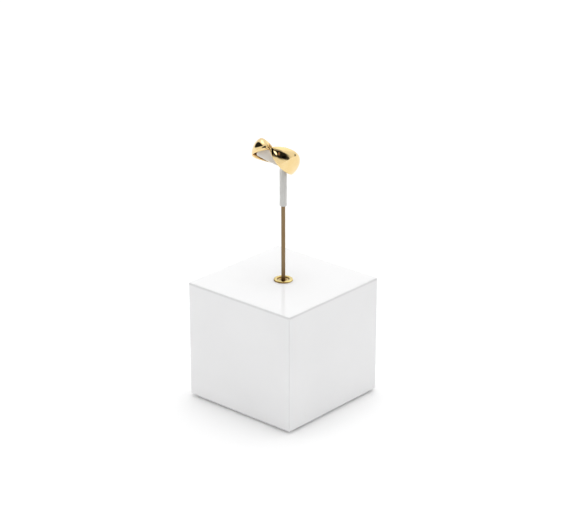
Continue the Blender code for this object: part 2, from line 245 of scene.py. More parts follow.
class Formula:
    """A number in a node tree. Arithmetic on it adds Math nodes, so a tree reads like its formula."""

    def __init__(self, tree, socket):
        self.tree = tree
        self.socket = socket

    def math(self, operation, *others):
        node = self.tree.nodes.new("ShaderNodeMath")
        node.operation = operation
        for socket, value in zip(node.inputs, (self, *others)):
            if isinstance(value, Formula):
                self.tree.links.new(value.socket, socket)
            else:
                socket.default_value = value
        return Formula(self.tree, node.outputs[0])

    def __add__(self, other):
        return self.math("ADD", other)

    def __sub__(self, other):
        return self.math("SUBTRACT", other)

    def __mul__(self, other):
        return self.math("MULTIPLY", other)

    def __truediv__(self, other):
        return self.math("DIVIDE", other)

    def __pow__(self, other):
        return self.math("POWER", other)

    def __abs__(self):
        return self.math("ABSOLUTE")

    def one_minus(self):
        return self * -1.0 + 1.0

    def clamp(self):
        return self.math("MINIMUM", 1.0).math("MAXIMUM", 0.0)

    def smooth(self, low, high):
        """0 below low and 1 above high, with a smooth step between."""
        node = self.tree.nodes.new("ShaderNodeMapRange")
        node.interpolation_type = "SMOOTHSTEP"
        self.tree.links.new(self.socket, node.inputs["Value"])
        node.inputs["From Min"].default_value = low
        node.inputs["From Max"].default_value = high
        return Formula(self.tree, node.outputs["Result"])

    def fade(self, low, high):
        """1 below low and 0 above high, with a smooth step between."""
        return self.smooth(low, high).one_minus()

    def dim(self, share):
        """What is left of full light where this takes away that share of it."""
        return self * -share + 1.0


def constant(tree, value):
    node = tree.nodes.new("ShaderNodeValue")
    node.outputs[0].default_value = value
    return Formula(tree, node.outputs[0])


def separate(tree, socket):
    """The three parts of a vector as formulas."""
    node = tree.nodes.new("ShaderNodeSeparateXYZ")
    tree.links.new(socket, node.inputs[0])
    return [Formula(tree, output) for output in node.outputs]


def combine(tree, x, y, z):
    node = tree.nodes.new("ShaderNodeCombineXYZ")
    for part, socket in zip((x, y, z), node.inputs):
        if isinstance(part, Formula):
            tree.links.new(part.socket, socket)
        else:
            socket.default_value = part
    return node.outputs[0]


def shaded(tone, *shares):
    """A colour scaled by one share, or by a share for each channel."""
    if len(shares) == 1:
        shares *= len(tone)
    return [min(1.0, channel * share) for channel, share in zip(tone, shares)]


class Finish:
    """A procedural material on Object coordinates, built up from noise, masks and a Principled shader."""

    def __init__(self, name, metallic=0.0, **constants):
        self.material = bpy.data.materials.new(name)
        self.material.use_nodes = True
        self.tree = self.material.node_tree
        self.shader = self.tree.nodes["Principled BSDF"]
        self.shader.inputs["Metallic"].default_value = metallic
        for socket, value in constants.items():
            self.shader.inputs[socket.replace("_", " ")].default_value = value
        coordinates = self.tree.nodes.new("ShaderNodeTexCoord")
        self.place = coordinates.outputs["Object"]
        self.x, self.y, self.z = separate(self.tree, self.place)

    def stretched(self, x, y, z):
        """Object coordinates with each axis scaled by its own factor."""
        return combine(self.tree, self.x * x, self.y * y, self.z * z)

    def noise(self, size, detail=2.0, roughness=0.5, at=None):
        """Noise from 0 to 1, with features of about the given size in metres."""
        node = self.tree.nodes.new("ShaderNodeTexNoise")
        node.inputs["Scale"].default_value = 1.0 / size
        node.inputs["Detail"].default_value = detail
        node.inputs["Roughness"].default_value = roughness
        self.tree.links.new(at or self.place, node.inputs["Vector"])
        return Formula(self.tree, node.outputs["Fac"])

    def attribute(self, name):
        """A number that the piece's mesh carries at each point."""
        node = self.tree.nodes.new("ShaderNodeAttribute")
        node.attribute_name = name
        return Formula(self.tree, node.outputs["Fac"])

    def mix(self, factor, first, second):
        """A colour between two others. Each is a colour or the output of an earlier mix."""
        node = self.tree.nodes.new("ShaderNodeMix")
        node.data_type = "RGBA"
        self.tree.links.new(factor.socket, node.inputs["Factor"])
        for name, value in (("A", first), ("B", second)):
            socket = next(item for item in node.inputs if item.name == name and item.type == "RGBA")
            if isinstance(value, bpy.types.NodeSocket):
                self.tree.links.new(value, socket)
            else:
                socket.default_value = (*value, 1.0)
        return next(item for item in node.outputs if item.type == "RGBA")

    def paint(self, output):
        self.tree.links.new(output, self.shader.inputs["Base Color"])

    def roughen(self, factor, low, high):
        """Roughness from low to high as the factor goes from 0 to 1."""
        value = factor * (high - low) + low
        self.tree.links.new(value.socket, self.shader.inputs["Roughness"])

    def relief(self, height, depth):
        """Bump from a height of 0 to 1, that deep in metres. A second call adds to the first."""
        node = self.tree.nodes.new("ShaderNodeBump")
        node.inputs["Distance"].default_value = depth
        self.tree.links.new(height.socket, node.inputs["Height"])
        normal = self.shader.inputs["Normal"]
        if normal.is_linked:
            self.tree.links.new(normal.links[0].from_socket, node.inputs["Normal"])
        self.tree.links.new(node.outputs["Normal"], normal)


def lacquer_finish(sizes):
    """White gloss lacquer with a faint orange peel, with painted shade that greys its edges.

    The shade is painted along the edges, and darkest in a line round the sides, just under the top.
    """
    edge_share = 0.4
    line_share = 0.8
    top = BLOCK_HIGH.z
    middle = (BLOCK_LOW.z + top) / 2
    half = sizes.side / 2
    finish = Finish("white_lacquer", IOR=1.4)
    from_x = abs(finish.x) * -1.0 + half
    from_y = abs(finish.y) * -1.0 + half
    from_ends = abs(finish.z - middle) * -1.0 + (top - middle)
    nearest = from_x.math("MINIMUM", from_y).math("MINIMUM", from_ends)
    farthest = from_x.math("MAXIMUM", from_y).math("MAXIMUM", from_ends)
    from_edge = from_x + from_y + from_ends - nearest - farthest
    wander = finish.noise(6 * MM, detail=4.0) * (0.3 * MM)
    edge = (from_edge + wander).fade(0.2 * MM, 0.75 * MM)
    under_top = (finish.z + wander * 0.3).smooth(top - 1.3 * MM, top - 0.5 * MM)
    line = under_top * finish.z.fade(top - 0.3 * MM, top - 0.1 * MM)
    # Painted shade along the edges, and a painted dark line round the sides just under the top.
    edge_shaded = (edge * edge_share).math("MAXIMUM", line * line_share)
    cloud = finish.noise(30 * MM, detail=3.0).smooth(0.3, 0.7)
    lacquer = finish.mix(cloud, sizes.lacquer, shaded(sizes.lacquer, 1.02))
    finish.paint(finish.mix(edge_shaded, lacquer, sizes.edge_shade_lacquer))
    finish.roughen(finish.noise(9 * MM, detail=3.0), 0.015, 0.04)
    finish.relief(finish.noise(1.1 * MM, detail=2.0), 3 * MICRON)
    finish.relief(finish.noise(14 * MM, detail=1.0), 12 * MICRON)
    return finish.material


def felt_finish(sizes):
    """Pressed wool felt, mottled and matted."""
    finish = Finish("grey_felt", Sheen_Weight=0.3, Sheen_Roughness=0.6)
    fleck = finish.noise(0.25 * MM, detail=6.0, roughness=0.7).smooth(0.35, 0.65)
    finish.paint(finish.mix(fleck, shaded(sizes.felt, 0.7), sizes.felt))
    finish.roughen(finish.noise(2 * MM), 0.88, 1.0)
    finish.relief(finish.noise(0.12 * MM, detail=5.0, roughness=0.7), 40 * MICRON)
    return finish.material


def polished_brass_finish(sizes):
    """Brass turned on a lathe, with fine rings from the tool.

    Painted shade browns it at the foot of the dish, round the rod's foot, along the flange's lower edge on
    the block and on the rim's side towards -X, which are also rougher.
    """
    brass_shade_share = 0.9
    contact_shade_share = 0.8
    foot = sizes.bore_radius + sizes.dish_floor_width
    edge = foot + sizes.dish_slope_width + sizes.crest_width
    step = BLOCK_HIGH.z + sizes.edge_height
    finish = Finish("polished_brass", metallic=1.0)
    radius = (finish.x**2.0 + finish.y**2.0) ** 0.5
    rings = finish.noise(0.07 * MM, detail=2.0, at=combine(finish.tree, radius, finish.z, 0.0))
    wander = finish.noise(0.9 * MM, detail=4.0) * (0.35 * MM) - 0.17 * MM
    # Painted shade, in brown: the dish's foot, the rod's foot, the rim towards -X and the flange's lower
    # edge.
    dish_foot_shade = abs(radius + wander - foot).fade(0.12 * MM, 0.42 * MM)
    round_rod = (radius + wander).fade(foot - 0.95 * MM, foot - 0.45 * MM)
    rim_shade_side = (finish.x * -1.0 + wander * 2.0).smooth(edge * 0.1, edge * 0.55)
    rim = (radius + wander * 0.3).smooth(edge - 0.32 * MM, edge - 0.12 * MM) * rim_shade_side
    contact_shade = finish.z.fade(step, step + 0.15 * MM) * radius.smooth(edge - 0.4 * MM, edge - 0.2 * MM)
    shade_and_dull = dish_foot_shade.math("MAXIMUM", round_rod).math("MAXIMUM", rim).math("MAXIMUM", contact_shade * contact_shade_share)
    warm = finish.noise(1.6 * MM, detail=4.0).smooth(0.35, 0.75)
    brass = finish.mix(warm, sizes.brass, shaded(sizes.brass, 0.95, 0.91, 0.80))
    finish.paint(finish.mix(shade_and_dull * brass_shade_share, brass, sizes.painted_brass_shade))
    finish.roughen(finish.noise(0.5 * MM, detail=4.0) + shade_and_dull * 0.6, 0.10, 0.22)
    finish.relief(rings, 2 * MICRON)
    return finish.material


def satin_brass_finish(sizes):
    """Drawn brass with fine lengthwise lines, darkened in streaks, and with painted shade by the socket and
    sleeve.
    """
    finish = Finish("satin_brass", metallic=1.0, Specular_Tint=(0.45, 0.35, 0.24, 1.0))
    drawn = finish.noise(0.10 * MM, detail=3.0, at=finish.stretched(1.0, 1.0, 0.02))
    streak = finish.noise(0.45 * MM, detail=4.0, at=finish.stretched(1.0, 1.0, 0.06)).smooth(0.35, 0.8)
    # Painted shade: the rod darkens towards the socket and just under the sleeve.
    foot = finish.z.fade(BLOCK_HIGH.z, BLOCK_HIGH.z + 7 * MM)
    neck = finish.z.smooth(SLEEVE_LOW.z - 1.2 * MM, SLEEVE_LOW.z)
    dark = (streak * 0.45 + foot * 0.6 + neck * 0.5).clamp()
    finish.paint(finish.mix(dark, sizes.brass, sizes.patina_and_shade))
    finish.roughen(drawn * 0.7 + dark * 0.3, 0.26, 0.44)
    finish.relief(drawn, 3 * MICRON)
    return finish.material


def polymer_finish(sizes):
    """Matt moulded polymer, slightly mottled, with a soft grain, and with painted light that pales it up
    round the leaf.
    """
    finish = Finish("grey_polymer", IOR=1.48, Specular_IOR_Level=0.2)
    cloud = finish.noise(2.2 * MM, detail=3.0).smooth(0.3, 0.7)
    run = finish.noise(0.5 * MM, detail=3.0, at=finish.stretched(1.0, 1.0, 0.05))
    tube = finish.mix((cloud * 0.6 + run * 0.4).clamp(), shaded(sizes.polymer, 0.95), sizes.polymer)
    # Painted light: the clip is paler up round the leaf.
    leaf_painted_light = finish.z.smooth(sizes.crossing - 5 * MM, sizes.crossing - 2 * MM)
    finish.paint(finish.mix(leaf_painted_light, tube, sizes.leaf_painted_light))
    finish.roughen(finish.noise(0.6 * MM, detail=3.0), 0.56, 0.68)
    finish.relief(finish.noise(0.09 * MM, detail=2.0), 4 * MICRON)
    return finish.material


def gold_finish(sizes):
    """Mirror-polished yellow gold, with hair-fine wear.

    Painted shade darkens the folds; painted shade and reflection brown the rougher inside of the ring.
    """
    finish = Finish("polished_gold", metallic=1.0)
    warm = finish.noise(5 * MM, detail=3.0).smooth(0.3, 0.75)
    polished = finish.mix(warm, sizes.gold, shaded(sizes.gold, 0.97, 0.93, 0.84))
    # Painted shade in the folds.
    folded = finish.mix(finish.attribute("fold"), polished, sizes.fold_shade_gold)
    # Painted shade and reflection inside the ring, which is also rougher.
    inside = finish.attribute("inside").smooth(0.8, 0.97)
    finish.paint(finish.mix(inside, folded, sizes.inside_shade_gold))
    hairs = finish.noise(0.12 * MM, detail=3.0, at=finish.stretched(1.0, 0.15, 0.4))
    finish.roughen(hairs + inside * 1.5, 0.03, 0.09)
    finish.relief(finish.noise(2.6 * MM, detail=2.0), 6 * MICRON)
    finish.relief(hairs, 0.3 * MICRON)
    return finish.material


def add_piece(name, mesh, material):
    """Puts a finished mesh in the scene at the origin, smooth but for its sharp corners."""
    mesh.materials.clear()
    mesh.materials.append(material)
    mesh.shade_smooth()
    mesh.set_sharp_from_angle(angle=SHARP_ANGLE)
    piece = bpy.data.objects.new(name, mesh)
    bpy.context.scene.collection.objects.link(piece)
    return piece


def settle(piece, name, body, node):
    """Names a piece, hangs it on its body in its node's place and hides the node's imported part."""
    piece.name = name
    piece.data.name = name
    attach(piece, body)
    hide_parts(node)


def to_mesh(name, shape):
    mesh = bpy.data.meshes.new(name)
    shape.to_mesh(mesh)
    shape.free()
    return mesh


def helper(name, mesh):
    """An object that only lives while a piece is being made."""
    obj = bpy.data.objects.new(name, mesh)
    bpy.context.scene.collection.objects.link(obj)
    return obj


def drop(obj):
    bpy.data.objects.remove(obj)


def baked(obj):
    """The mesh of a helper, with its modifiers and its place applied. The helper is removed."""
    bpy.context.view_layer.update()
    graph = bpy.context.evaluated_depsgraph_get()
    mesh = bpy.data.meshes.new_from_object(obj.evaluated_get(graph), depsgraph=graph)
    mesh.transform(obj.matrix_world)
    drop(obj)
    return mesh


def combined(obj, other, operation):
    """The mesh of two helpers joined or cut by a Boolean. Both are removed."""
    modifier = obj.modifiers.new("Join", "BOOLEAN")
    modifier.operation = operation
    modifier.object = other
    modifier.solver = "EXACT"
    mesh = baked(obj)
    drop(other)
    return mesh


def bevel(obj, name, width, segments, limit=None):
    """Adds a Bevel of the object's sharp edges, or of those that turn by more than the limit."""
    modifier = obj.modifiers.new(name, "BEVEL")
    modifier.width = width
    modifier.segments = segments
    modifier.limit_method = "ANGLE"
    if limit:
        modifier.angle_limit = limit


def slab_shape(side, bottom, top):
    shape = bmesh.new()
    bmesh.ops.create_cube(shape, size=1.0)
    bmesh.ops.scale(shape, vec=(side, side, top - bottom), verts=shape.verts)
    bmesh.ops.translate(shape, vec=(0, 0, (bottom + top) / 2), verts=shape.verts)
    return shape


def cylinder_mesh(name, radius, bottom, top):
    shape = bmesh.new()
    bmesh.ops.create_cone(
        shape, cap_ends=True, segments=TURN_STEPS, radius1=radius, radius2=radius, depth=top - bottom
    )
    bmesh.ops.translate(shape, vec=(0, 0, (bottom + top) / 2), verts=shape.verts)
    return to_mesh(name, shape)


def arc(centre, radii, start, end):
    """Points of an arc in the XZ plane, from the start angle to the end angle in degrees."""
    points = []
    for step in range(ARC_STEPS + 1):
        at = math.radians(start + (end - start) * step / ARC_STEPS)
        points.append((centre[0] + radii[0] * math.cos(at), centre[1] + radii[1] * math.sin(at)))
    return points


def turned_helper(name, profile, closed=False):
    """A Screw of a profile about Z. The profile runs down the outer side, as (radius, height) points."""
    shape = bmesh.new()
    corners = [shape.verts.new((radius, 0, height)) for radius, height in profile]
    for first, second in zip(corners, corners[1:]):
        shape.edges.new((first, second))
    if closed:
        shape.edges.new((corners[-1], corners[0]))
    obj = helper(name, to_mesh(name, shape))
    screw = obj.modifiers.new("Turn", "SCREW")
    screw.steps = TURN_STEPS
    screw.render_steps = TURN_STEPS
    screw.use_merge_vertices = True
    screw.merge_threshold = MICRON
    return obj


def new_tree(name, inputs):
    """A Geometry Nodes tree with a geometry output and the named inputs, and its input node."""
    tree = bpy.data.node_groups.new(name, "GeometryNodeTree")
    tree.interface.new_socket(name="Geometry", in_out="OUTPUT", socket_type="NodeSocketGeometry")
    for label, kind in inputs:
        tree.interface.new_socket(name=label, in_out="INPUT", socket_type="NodeSocket" + kind)
    return tree, tree.nodes.new("NodeGroupInput")


def end_tree(tree, geometry, given):
    """Ends a tree in Realize Instances and Set Material, on the way to its output."""
    realize = tree.nodes.new("GeometryNodeRealizeInstances")
    dress = tree.nodes.new("GeometryNodeSetMaterial")
    out = tree.nodes.new("NodeGroupOutput")
    tree.links.new(geometry, realize.inputs["Geometry"])
    tree.links.new(realize.outputs["Geometry"], dress.inputs["Geometry"])
    tree.links.new(given.outputs["Material"], dress.inputs["Material"])
    tree.links.new(dress.outputs["Geometry"], out.inputs["Geometry"])


def grown(tree, values, seed_mesh=None):
    """The plain mesh that a tree makes with these values for its named inputs."""
    obj = helper(tree.name, seed_mesh or bpy.data.meshes.new(tree.name))
    modifier = obj.modifiers.new("Grow", "NODES")
    modifier.node_group = tree
    for item in tree.interface.items_tree:
        if item.in_out == "INPUT" and item.name in values:
            modifier[item.identifier] = values[item.name]
    return baked(obj)


RING_INPUTS = (
    ("Inner Radius", "Float"),
    ("Edge Thickness", "Float"),
    ("Shank Thickness", "Float"),
    ("Lobe Thickness", "Float"),
    ("Shank Half Width", "Float"),
    ("Pinch Upper", "Float"),
    ("Pinch Lower", "Float"),
    ("Lobe Upper", "Float"),
    ("Large Lobe Lower", "Float"),
    ("Small Lobe Lower", "Float"),
    ("Lobe Angle", "Float"),
    ("Small Lobe Lower Angle", "Float"),
    ("Lobe Taper", "Float"),
    ("Pinch Angle", "Float"),
    ("Pinch Slant", "Float"),
    ("Fold Depth", "Float"),
    ("Fold Reach", "Float"),
    ("Fold Shift", "Float"),
    ("Fold Skew", "Float"),
    ("Folds", "Int"),
    ("Squareness", "Float"),
    ("Turn Steps", "Int"),
    ("Section Steps", "Int"),
    ("Material", "Material"),
)


def signed_power(value, power):
    return value.math("SIGN") * abs(value) ** power


def lobe_swell(from_pinch, widest):
    """0 at the pinch and at the back of the shank, and 1 at the angle where a lobe is widest."""
    skew = constant(from_pinch.tree, 0.5).math("LOGARITHM", widest / math.pi)
    share = (abs(from_pinch) / math.pi).math("MINIMUM", 1.0)
    return (share**skew * math.pi).math("SINE")


def blended(first, second, factor):
    return first + (second - first) * factor


def stored(tree, geometry, name, value):
    """The geometry with a number stored at each point, for its material to read."""
    node = tree.nodes.new("GeometryNodeStoreNamedAttribute")
    node.data_type = "FLOAT"
    node.domain = "POINT"
    node.inputs["Name"].default_value = name
    tree.links.new(geometry, node.inputs["Geometry"])
    tree.links.new(value.socket, node.inputs["Value"])
    return node.outputs["Geometry"]


def ring_tree():
    """The ring: a grid of steps round it and round its band, each point moved to the band's surface."""
    tree, given = new_tree("ring_band", RING_INPUTS)
    size = {output.name: Formula(tree, output) for output in given.outputs if output.name}

    grid = tree.nodes.new("GeometryNodeMeshGrid")
    tree.links.new((size["Turn Steps"] + 1.0).socket, grid.inputs["Vertices X"])
    tree.links.new((size["Section Steps"] + 1.0).socket, grid.inputs["Vertices Y"])
    place = tree.nodes.new("GeometryNodeInputPosition")
    along, round_band, _ = separate(tree, place.outputs[0])
    turn = (along + 0.5) * math.tau
    section = (round_band + 0.5) * math.tau

    from_pinch = (turn - size["Pinch Angle"]).math("WRAP", math.pi, -math.pi)
    across = signed_power(section.math("SINE"), size["Squareness"])
    is_upper = across.math("GREATER_THAN", 0.0)
    slant = is_upper.one_minus() * size["Pinch Slant"]
    from_edge_pinch = (from_pinch + slant).math("WRAP", math.pi, -math.pi)
    is_large = from_edge_pinch.math("GREATER_THAN", 0.0)
    lower_lobe = blended(size["Small Lobe Lower"], size["Large Lobe Lower"], is_large)
    lower_widest = blended(size["Small Lobe Lower Angle"], size["Lobe Angle"], is_large)
    lobe = blended(lower_lobe, size["Lobe Upper"], is_upper)
    widest = blended(lower_widest, size["Lobe Angle"], is_upper)
    pinch = blended(size["Pinch Lower"], size["Pinch Upper"], is_upper)
    least = blended(size["Shank Half Width"], pinch, (from_edge_pinch / 2.0).math("COSINE") ** 2.0)
    half_width = blended(least, lobe, lobe_swell(from_edge_pinch, widest) ** size["Lobe Taper"])

    swell = lobe_swell(from_pinch, size["Lobe Angle"])
    crown = blended(size["Shank Thickness"], size["Lobe Thickness"], swell)
    thickness = blended(crown, size["Edge Thickness"], across**2.0)
    from_folds = from_pinch + size["Fold Shift"]
    fade = ((from_folds / size["Fold Reach"]) ** 2.0 * -1.0).math("EXPONENT")
    slanting = across + from_folds * size["Fold Skew"]
    ridge = (size["Folds"] * slanting * math.pi).math("COSINE")
    thickness += size["Fold Depth"] * fade * ridge
    # Painted shade in the folds, darkest in their hollows.
    fold_shade_mask = fade * (ridge * -FOLD_CONTRAST + (1 - FOLD_CONTRAST))
    depth = (signed_power(section.math("COSINE"), size["Squareness"]) + 1.0) / 2.0
    radius = size["Inner Radius"] + depth * thickness

    marked = stored(tree, grid.outputs["Mesh"], "fold", fold_shade_mask)
    marked = stored(tree, marked, "inside", depth.one_minus())
    move = tree.nodes.new("GeometryNodeSetPosition")
    point = combine(tree, radius * turn.math("SINE"), half_width * across, radius * turn.math("COSINE"))
    tree.links.new(marked, move.inputs["Geometry"])
    tree.links.new(point, move.inputs["Position"])
    close = tree.nodes.new("GeometryNodeMergeByDistance")
    close.inputs["Distance"].default_value = MICRON
    tree.links.new(move.outputs["Geometry"], close.inputs["Geometry"])
    end_tree(tree, close.outputs["Geometry"], given)
    return tree


def leaf_half_length(clip, ring):
    return math.sqrt((ring.inner_radius - clip.seat_gap) ** 2 - clip.leaf_end_height**2)


def leaf_height(clip, ring, x):
    """Height of the leaf's middle surface over the ring's axis, at x along the leaf."""
    share = x / leaf_half_length(clip, ring)
    return clip.leaf_end_height - clip.leaf_thickness / 2 + clip.leaf_arch * (1 - share**2)


def head_matrix(clip, ring):
    """The frame of the leaf and the ring: X along the leaf, Y along the ring's axis, Z out of the leaf."""
    turned = Euler((ring.lean, ring.slope, ring.turn), "XYZ").to_matrix()
    crossing = Vector((clip.stem_offset, -clip.leaf_offset, leaf_height(clip, ring, clip.stem_offset)))
    origin = Vector((0, 0, clip.crossing)) - turned @ crossing
    return Matrix.Translation(origin) @ turned.to_4x4()


def past_leaf(clip):
    """A height over the leaf, where upright blanks end before they are trimmed."""
    return clip.crossing + 2 * clip.sleeve_radius


def leaf_helper(name, clip, ring, low, high, reach=0.0, corner_radius=0.0):
    """The leaf as a solid, from low to high off its middle surface, or a slab that reaches past it."""
    half_width = clip.leaf_width / 2 + reach
    half_length = leaf_half_length(clip, ring)
    shape = bmesh.new()
    bmesh.ops.create_grid(shape, x_segments=LEAF_LENGTH_STEPS, y_segments=LEAF_WIDTH_STEPS, size=1.0)
    bmesh.ops.scale(shape, vec=(half_length + reach, half_width, 1), verts=shape.verts)
    if corner_radius:
        corners = [vert for vert in shape.verts if len(vert.link_edges) == 2]
        bmesh.ops.bevel(
            shape, geom=corners, offset=corner_radius, segments=BEVEL_STEPS, profile=0.5, affect="VERTICES"
        )
    for vert in shape.verts:
        narrowing = (clip.leaf_width - clip.leaf_end_width) / 2 * (vert.co.x / half_length) ** 2
        across = vert.co.y * (1 - narrowing / half_width) - clip.leaf_offset
        vert.co = Vector((vert.co.x, across, leaf_height(clip, ring, vert.co.x)))
    obj = helper(name, to_mesh(name, shape))
    obj.matrix_world = head_matrix(clip, ring)
    solid = obj.modifiers.new("Thickness", "SOLIDIFY")
    solid.thickness = high - low
    solid.offset = (high + low) / (high - low)
    solid.use_even_offset = True
    return obj


def leaf_trim(clip, ring, low):
    """A slab over the leaf, from low outwards, that trims what meets the leaf."""
    reach = 4 * clip.sleeve_radius
    return leaf_helper("trim", clip, ring, low, reach, reach)


class JEWELRYSTAND_OT_block(bpy.types.Operator):
    """Makes the lacquered wooden block, with the bore for the socket"""

    bl_idname = "jewelrystand.block"
    bl_label = "Block"
    bl_options = {"REGISTER", "UNDO"}

    def execute(self, context):
        sizes = context.scene.stand_block
        top = BLOCK_HIGH.z
        block = helper("block_blank", to_mesh("block_blank", slab_shape(sizes.side, BLOCK_LOW.z, top)))
        bevel(block, "Edges", sizes.edge_radius, BEVEL_STEPS)
        bore_mesh = cylinder_mesh("bore", sizes.bore_radius, top - sizes.bore_depth, top + MM)
        bore = helper("bore", bore_mesh)
        piece = add_piece("block", combined(block, bore, "DIFFERENCE"), lacquer_finish(sizes))
        settle(piece, "lacquered_block", "root", "block")
        return {"FINISHED"}


class JEWELRYSTAND_OT_pad(bpy.types.Operator):
    """Makes the felt pad under the block, with softened edges"""

    bl_idname = "jewelrystand.pad"
    bl_label = "Felt Pad"
    bl_options = {"REGISTER", "UNDO"}

    def execute(self, context):
        sizes = context.scene.stand_pad
        shape = slab_shape(sizes.side, 0, sizes.thickness)
        upright = [edge for edge in shape.edges if abs(edge.verts[0].co.z - edge.verts[1].co.z) > MICRON]
        bmesh.ops.bevel(
            shape,
            geom=upright,
            offset=sizes.corner_radius,
            segments=PAD_CORNER_STEPS,
            profile=0.5,
            affect="EDGES",
        )
        pad = helper("pad_blank", to_mesh("pad_blank", shape))
        bevel(pad, "Soft Edge", sizes.soft_edge, SOFT_EDGE_STEPS)
        piece = add_piece("pad", baked(pad), felt_finish(sizes))
        settle(piece, "felt_pad", "root", "base_pad")
        return {"FINISHED"}


class JEWELRYSTAND_OT_socket(bpy.types.Operator):
    """Makes the turned brass socket, with its dished flange and closed tail"""

    bl_idname = "jewelrystand.socket"
    bl_label = "Socket"
    bl_options = {"REGISTER", "UNDO"}

    def execute(self, context):
        sizes = context.scene.stand_socket
        top = BLOCK_HIGH.z
        bottom = SOCKET_LOW.z
        floor = bottom + sizes.floor
        dish = top + sizes.dish_height
        step = top + sizes.edge_height
        underside = top + context.scene.stand_clip.seat_gap
        tail = sizes.bore_radius + sizes.wall
        crest = sizes.bore_radius + sizes.dish_floor_width + sizes.dish_slope_width
        edge = crest + sizes.crest_width
        profile = [(0, floor), (sizes.bore_radius, floor), (sizes.bore_radius, dish)]
        profile += arc((crest, dish), (sizes.dish_slope_width, SOCKET_HIGH.z - dish), 180, 90)
        profile += arc((crest, step), (sizes.crest_width, SOCKET_HIGH.z - step), 90, 0)[1:]
        profile += [(edge, underside), (tail, underside), (tail, bottom), (0, bottom)]
        piece = add_piece("socket", baked(turned_helper("socket", profile)), polished_brass_finish(sizes))
        settle(piece, "turned_socket", "root", "ferrule")
        return {"FINISHED"}


class JEWELRYSTAND_OT_rod(bpy.types.Operator):
    """Makes the drawn brass rod"""

    bl_idname = "jewelrystand.rod"
    bl_label = "Rod"
    bl_options = {"REGISTER", "UNDO"}

    def execute(self, context):
        sizes = context.scene.stand_rod
        shoulder = sizes.radius - sizes.chamfer
        profile = [
            (0, ROD_HIGH.z),
            (shoulder, ROD_HIGH.z),
            (sizes.radius, ROD_HIGH.z - sizes.chamfer),
            (sizes.radius, ROD_LOW.z + sizes.chamfer),
            (shoulder, ROD_LOW.z),
            (0, ROD_LOW.z),
        ]
        piece = add_piece("rod", baked(turned_helper("rod", profile)), satin_brass_finish(sizes))
        settle(piece, "drawn_rod", "rod", "rod")
        return {"FINISHED"}


class JEWELRYSTAND_OT_sleeve(bpy.types.Operator):
    """Makes the clip's sleeve, cut on the slant where it meets the leaf"""

    bl_idname = "jewelrystand.sleeve"
    bl_label = "Clip Sleeve"
    bl_options = {"REGISTER", "UNDO"}

    def execute(self, context):
        clip, ring = context.scene.stand_clip, context.scene.stand_ring
        edge = clip.sleeve_edge
        centre = (clip.sleeve_radius - edge, SLEEVE_LOW.z + edge)
        profile = [(clip.bore_radius, past_leaf(clip)), (clip.sleeve_radius, past_leaf(clip))]
        profile += arc(centre, (edge, edge), 0, -90)
        profile += [(clip.bore_radius, SLEEVE_LOW.z)]
        sleeve = turned_helper("sleeve_blank", profile, closed=True)
        trim = leaf_trim(clip, ring, -clip.leaf_thickness / 2 - clip.seat_gap)
        piece = add_piece("sleeve", combined(sleeve, trim, "DIFFERENCE"), polymer_finish(clip))
        settle(piece, "clip_tube", "clip", "clip_sleeve")
        return {"FINISHED"}


class JEWELRYSTAND_OT_leaf(bpy.types.Operator):
    """Makes the clip's arched leaf, with the peg that enters the sleeve"""

    bl_idname = "jewelrystand.leaf"
    bl_label = "Clip Leaf"
    bl_options = {"REGISTER", "UNDO"}

    def execute(self, context):
        clip, ring = context.scene.stand_clip, context.scene.stand_ring
        half = clip.leaf_thickness / 2
        leaf = leaf_helper("leaf_blank", clip, ring, -half, half, corner_radius=clip.leaf_corner)
        bevel(leaf, "Rim", clip.leaf_rim, RIM_STEPS, RIM_ANGLE)
        radius = context.scene.stand_rod.radius
        bottom = clip.crossing - clip.peg_length
        blank = helper("peg_blank", cylinder_mesh("peg", radius, bottom, past_leaf(clip)))
        peg = helper("peg", combined(blank, leaf_trim(clip, ring, 0.0), "DIFFERENCE"))
        piece = add_piece("leaf", combined(leaf, peg, "UNION"), polymer_finish(clip))
        settle(piece, "clip_strip", "clip", "clip_leaf")
        return {"FINISHED"}


class JEWELRYSTAND_OT_ring(bpy.types.Operator):
    """Makes the gold ring, a wide band pinched into two lobes"""

    bl_idname = "jewelrystand.ring"
    bl_label = "Ring"
    bl_options = {"REGISTER", "UNDO"}

    def execute(self, context):
        sizes = context.scene.stand_ring
        values = {}
        for label, kind in RING_INPUTS[:-1]:
            values[label] = getattr(sizes, label.lower().replace(" ", "_"))
        gold = gold_finish(sizes)
        mesh = grown(ring_tree(), {**values, "Material": gold})
        mesh.transform(head_matrix(context.scene.stand_clip, sizes))
        settle(add_piece("ring", mesh, gold), "gold_ring", "ring", "ring")
        return {"FINISHED"}


def along_axis(view, axis):
    x, y, z = view
    return x * axis.x + y * axis.y + z * axis.z


def wall_pair(part, low_wall, high_wall):
    """The light of the walls at the two ends of an axis, for the part of the view along it."""
    return abs(part) * ((low_wall + high_wall) / 2) + part * ((high_wall - low_wall) / 2)


def room_patch(view, middle, halves, tilt, softness):
    """1 inside an oval patch of the room and 0 outside it.

    The middle is an azimuth and an elevation, and the halves are the oval's half width and half height,
    tilted about its middle, all in degrees. The softness is the part of its reach over which it fades.
    """
    turn, rise = (math.radians(value) for value in middle)
    centre = Vector((math.sin(turn) * math.cos(rise), -math.cos(turn) * math.cos(rise), math.sin(rise)))
    level = Vector((math.cos(turn), math.sin(turn), 0.0))
    lean = Matrix.Rotation(math.radians(tilt), 3, centre)
    wide_axis = lean @ level / math.sin(math.radians(halves[0]))
    high_axis = lean @ centre.cross(level) / math.sin(math.radians(halves[1]))
    wide, high = along_axis(view, wide_axis), along_axis(view, high_axis)
    off = (wide**2.0 + high**2.0) ** 0.5
    ahead = along_axis(view, centre).math("GREATER_THAN", 0.0)
    return off.fade(1.0 - softness, 1.0 + softness) * ahead


